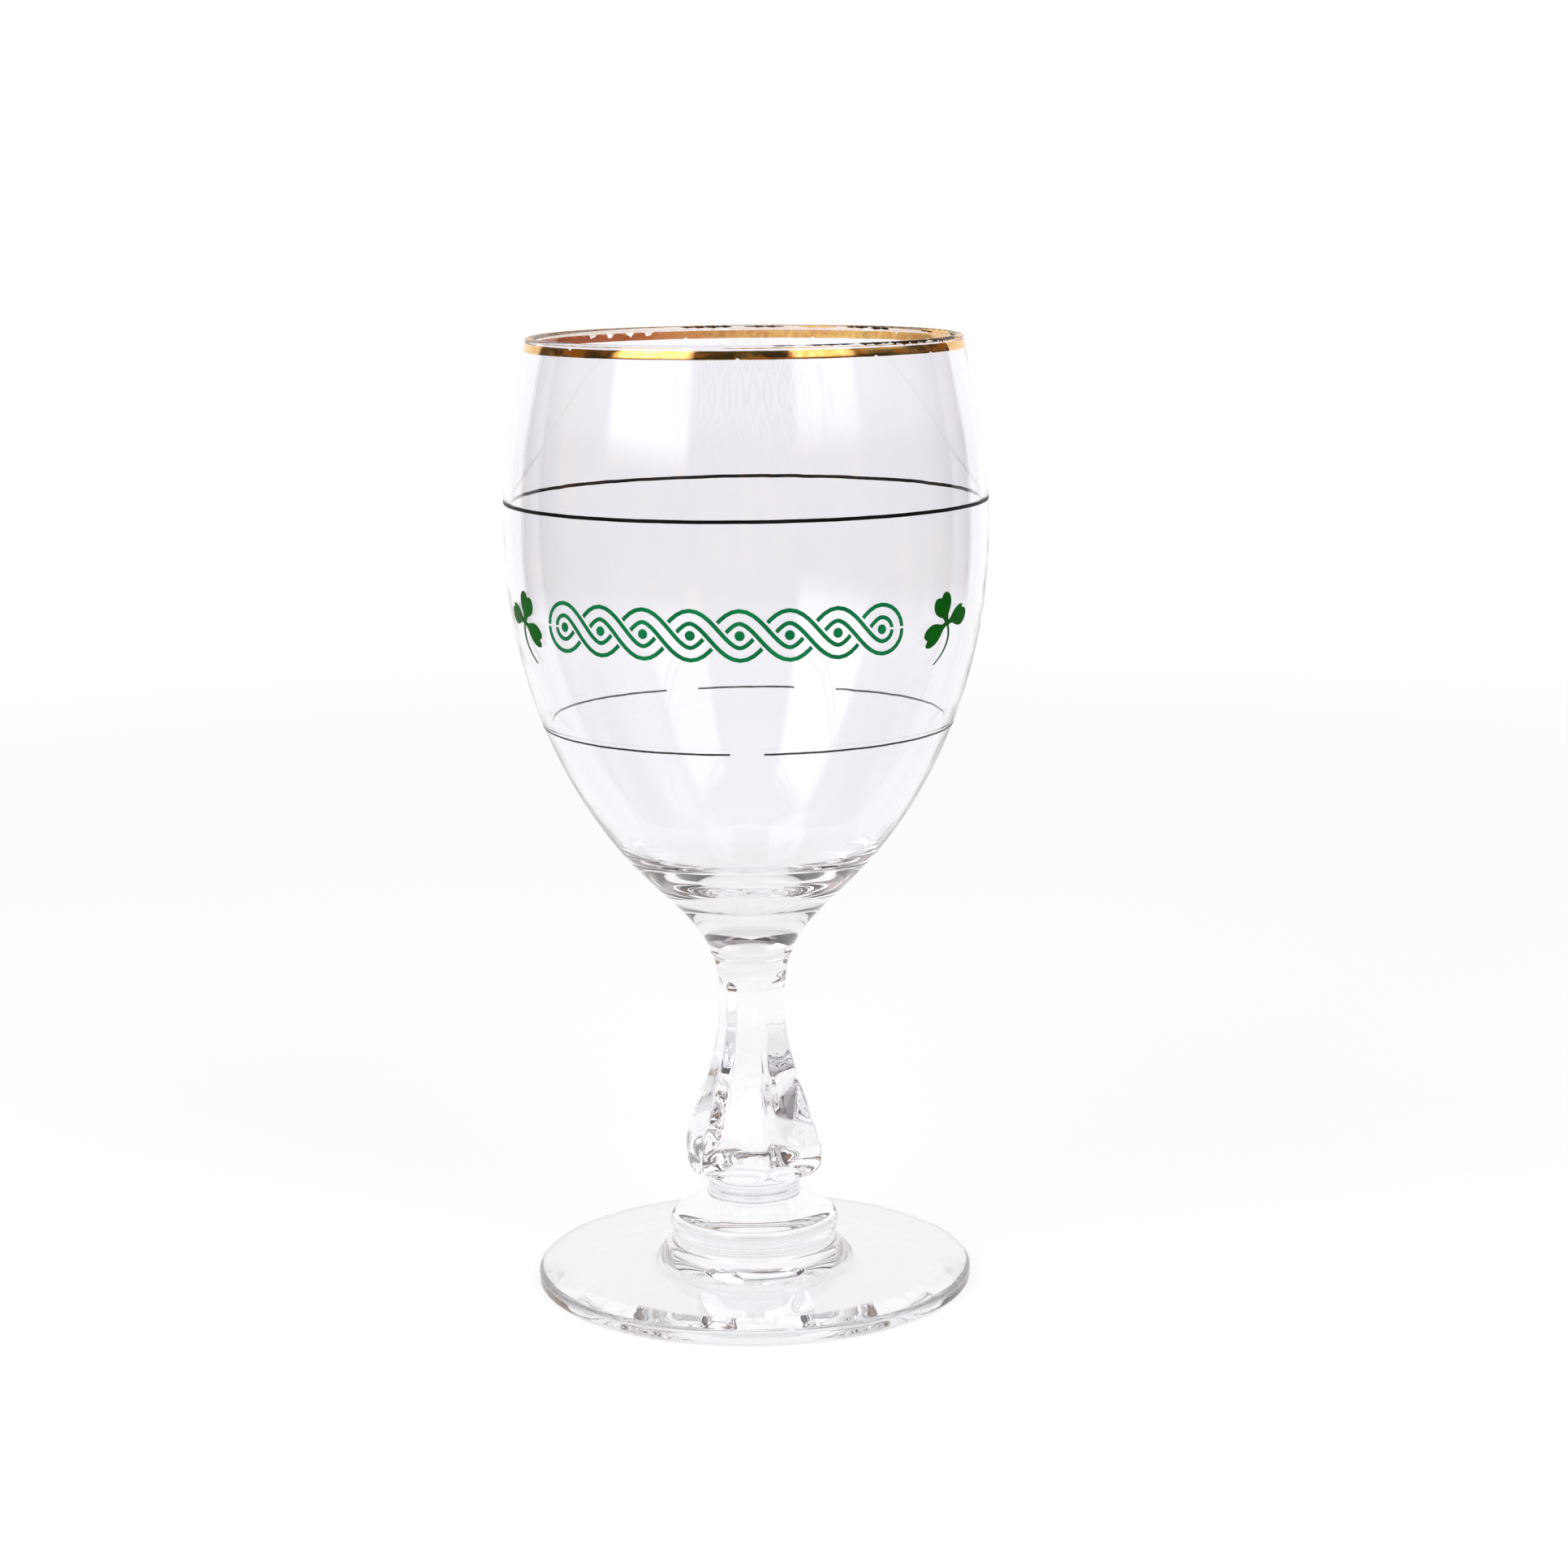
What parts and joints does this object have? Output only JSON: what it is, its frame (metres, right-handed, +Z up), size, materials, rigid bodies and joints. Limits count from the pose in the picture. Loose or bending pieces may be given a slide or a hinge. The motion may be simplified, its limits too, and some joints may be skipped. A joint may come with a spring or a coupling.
{
  "type": "irish coffee glass",
  "caption": "Stemmed glass goblet for hot coffee: deep round bowl with a gold rim and green prints on a short six-panel stem and a round foot.",
  "frame": {"origin": "on the axis of the glass at the table, under the middle of the foot", "axes": "+Z up along the axis of the glass, the printed front faces -Y, +X to the right of someone who looks at the print"},
  "size_m": [0.075, 0.075, 0.15],
  "materials": {
    "bowl_glass": "clear, fire polished",
    "stem_glass": "clear, pressed and fire polished",
    "foot_glass": "clear, pressed and fire polished",
    "gold": "bright fired gold, worn in places",
    "black_enamel": "fired enamel, satin",
    "green_enamel": "fired enamel, satin"
  },
  "bodies": {
    "root": {"bowl": "bowl_glass", "stem": "stem_glass", "foot": "foot_glass", "gold_rim": "gold", "upper_line": "black_enamel", "lower_line": "black_enamel", "plait_print": "green_enamel", "shamrock_left": "green_enamel", "shamrock_right": "green_enamel"}
  },
  "joints": []
}
